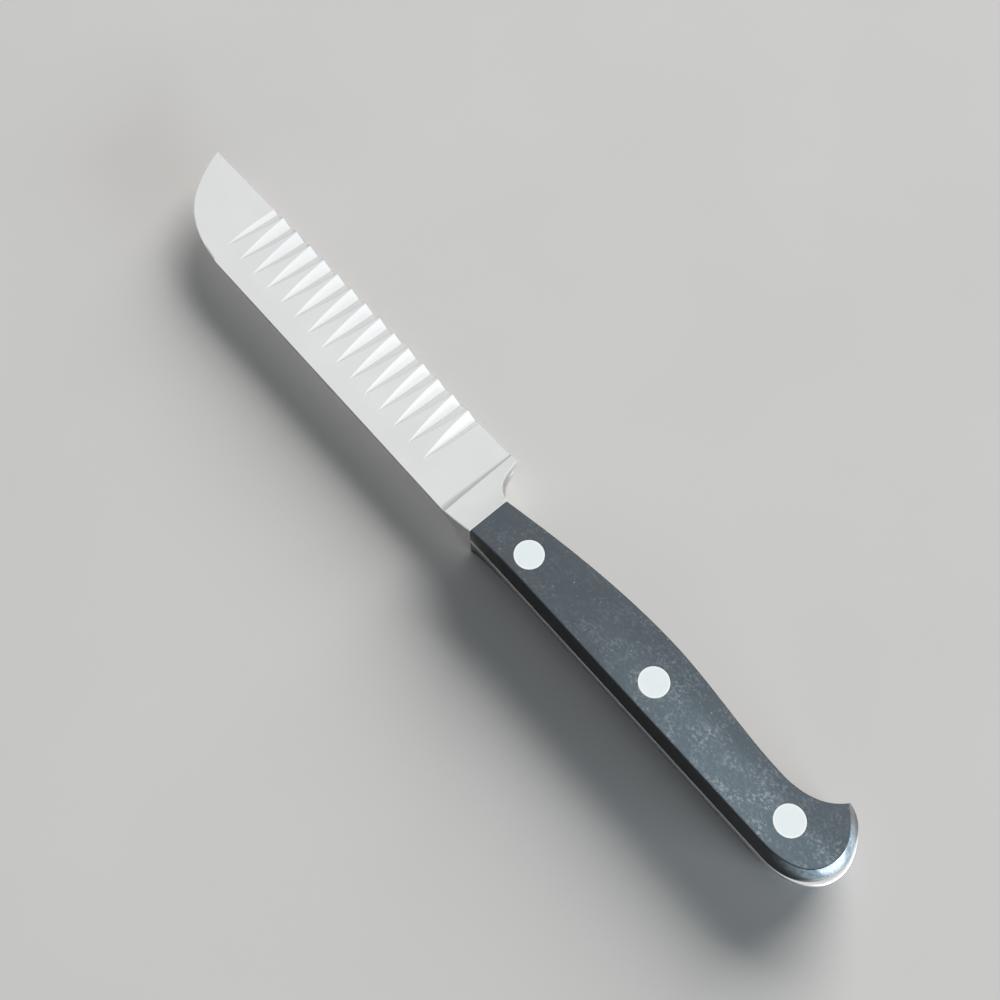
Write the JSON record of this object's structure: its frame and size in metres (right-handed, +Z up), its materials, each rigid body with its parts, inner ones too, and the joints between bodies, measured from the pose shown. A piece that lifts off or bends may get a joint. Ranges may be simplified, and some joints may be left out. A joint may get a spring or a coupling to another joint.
{
  "type": "decorating knife",
  "caption": "Kitchen decorating knife with a fluted wavy-edge blade, forged bolster and full tang, and a riveted black plastic handle.",
  "frame": {"origin": "on the resting plane, under the middle of the knife's bounding box, with the knife lying on its left side", "axes": "+X along the knife to the blade's tip, +Y across it to the spine, +Z up through the right-hand side"},
  "size_m": [0.217, 0.0206, 0.013],
  "materials": {
    "blade_steel": "satin ground stainless steel",
    "scale_plastic": "satin black moulded plastic, lightly worn",
    "rivet_metal": "ground flush and finely satin"
  },
  "bodies": {
    "root": {"forged_blade": "blade_steel", "right_scale": "scale_plastic", "left_scale": "scale_plastic", "front_rivet_tube": "rivet_metal", "front_rivet_pin": "rivet_metal", "middle_rivet_tube": "rivet_metal", "middle_rivet_pin": "rivet_metal", "rear_rivet_tube": "rivet_metal", "rear_rivet_pin": "rivet_metal"}
  },
  "joints": []
}
